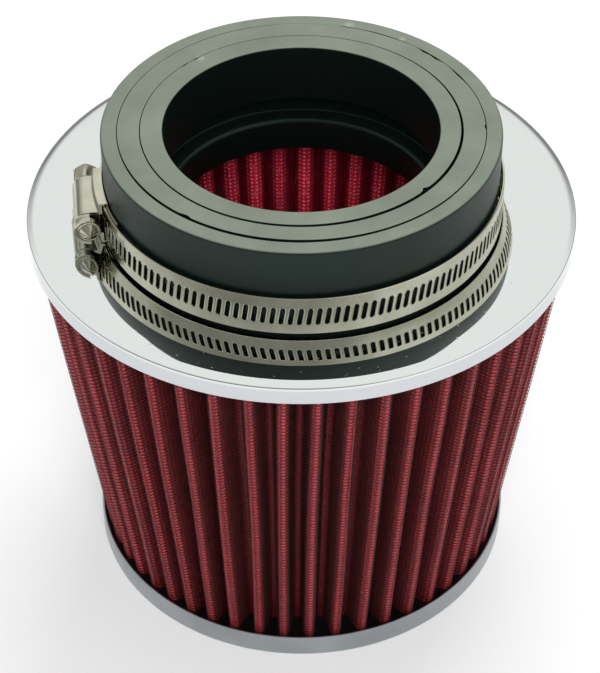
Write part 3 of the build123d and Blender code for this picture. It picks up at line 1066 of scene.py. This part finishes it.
# Matt white paper, lifted to white for the eye but still taking the shadow
paper, tree = new_finish("paper_matt_white")
sight = add(tree, "LightPath")
rays = {0: sight.outputs["Is Camera Ray"], 1: sight.outputs["Is Glossy Ray"]}
seen = add(tree, "Math", rays, operation="MAXIMUM")
matt = add(tree, "BsdfDiffuse", {"Color": linear("DADADA")})
lift = add(tree, "Emission", {"Color": linear("FFFFFF"), "Strength": paper_lift})
glow = add(tree, "MixShader", {0: seen.outputs[0], 2: lift.outputs[0]})
both = add(tree, "AddShader", {0: matt.outputs[0], 1: glow.outputs[0]})
add(tree, "OutputMaterial", {"Surface": both.outputs[0]})
floor_mesh.materials.append(paper)


def soft_light(name, place, target, width, height, power):
    """A softbox that faces its target and that the metal doesn't mirror."""
    lamp = bpy.data.lights.new(name, "AREA")
    lamp.shape = "RECTANGLE"
    lamp.size = width
    lamp.size_y = height
    lamp.energy = power
    thing = bpy.data.objects.new(name, lamp)
    thing.location = place
    thing.rotation_euler = (Vector(target) - Vector(place)).to_track_quat("-Z", "Y").to_euler()
    thing.visible_glossy = False
    bpy.context.scene.collection.objects.link(thing)


soft_light("key_softbox", (0.2, 0.62, 1.2), (0, 0, 0.1), 0.7, 0.7, 8)
soft_light("front_softbox", (0.1, -1.15, 1.15), (0, 0, 0.09), 0.7, 0.6, 11.5)

world = bpy.data.worlds.new("white_surround")
bpy.context.scene.world = world
world.use_nodes = True
tree = world.node_tree
tree.nodes.clear()
sight = add(tree, "LightPath")
direction = add(tree, "TexCoord").outputs["Generated"]
# Towards the camera and to its left the room is darker
camera_side = (-0.45, -0.89, 0.0)
toward = add(tree, "VectorMath", {0: direction, 1: camera_side}, operation="DOT_PRODUCT")
dim_range = {"From Min": 0.1, "From Max": 0.65, "To Min": 1.0, "To Max": 0.34}
dim = add(tree, "MapRange", {"Value": toward.outputs["Value"], **dim_range})
# and so it is near the floor all round
level = add(tree, "SeparateXYZ", {"Vector": direction}).outputs["Z"]
low_range = {"From Min": 0.22, "From Max": 0.56, "To Min": 0.28, "To Max": 1.0}
low = add(tree, "MapRange", {"Value": level, **low_range})
room = add(tree, "Math", {0: dim.outputs["Result"], 1: low.outputs["Result"]}, operation="MINIMUM")
mirror = add(tree, "Mix", {"Factor": sight.outputs["Is Glossy Ray"], "A": room_light, "B": room.outputs[0]})
rays = {0: sight.outputs["Is Camera Ray"], 1: sight.outputs["Is Transmission Ray"]}
shown = add(tree, "Math", rays, operation="MAXIMUM")
strength = add(tree, "Mix", {"Factor": shown.outputs[0], "A": mirror.outputs["Result"], "B": 1.0})
surround = add(tree, "Background", {"Color": linear("FFFFFF"), "Strength": strength.outputs["Result"]})
add(tree, "OutputWorld", {"Surface": surround.outputs[0]})

# The camera: focal length and picture height in pixels, its place in metres and how it is turned
focal_pixels, picture_height, sensor = 2057.0, 673, 36.0
camera_place = (0.0050, -0.4600, 0.4809)
pitch, yaw, roll = math.radians(41.71), math.radians(-0.68), math.radians(-0.10)
camera_data = bpy.data.cameras.new("camera")
camera_data.sensor_width = sensor
camera_data.lens = focal_pixels / picture_height * sensor
camera_data.clip_start = 0.01
camera = bpy.data.objects.new("camera", camera_data)
bpy.context.scene.collection.objects.link(camera)
forward = Vector((math.sin(yaw) * math.cos(pitch), math.cos(yaw) * math.cos(pitch), -math.sin(pitch)))
level_right = Vector((math.cos(yaw), -math.sin(yaw), 0))
level_up = level_right.cross(forward)
right = level_right * math.cos(roll) + level_up * math.sin(roll)
up = level_up * math.cos(roll) - level_right * math.sin(roll)
turned = Matrix((right, up, -forward)).transposed().to_4x4()
camera.matrix_world = Matrix.Translation(camera_place) @ turned
bpy.context.scene.camera = camera
bpy.context.scene.view_settings.view_transform = "Standard"
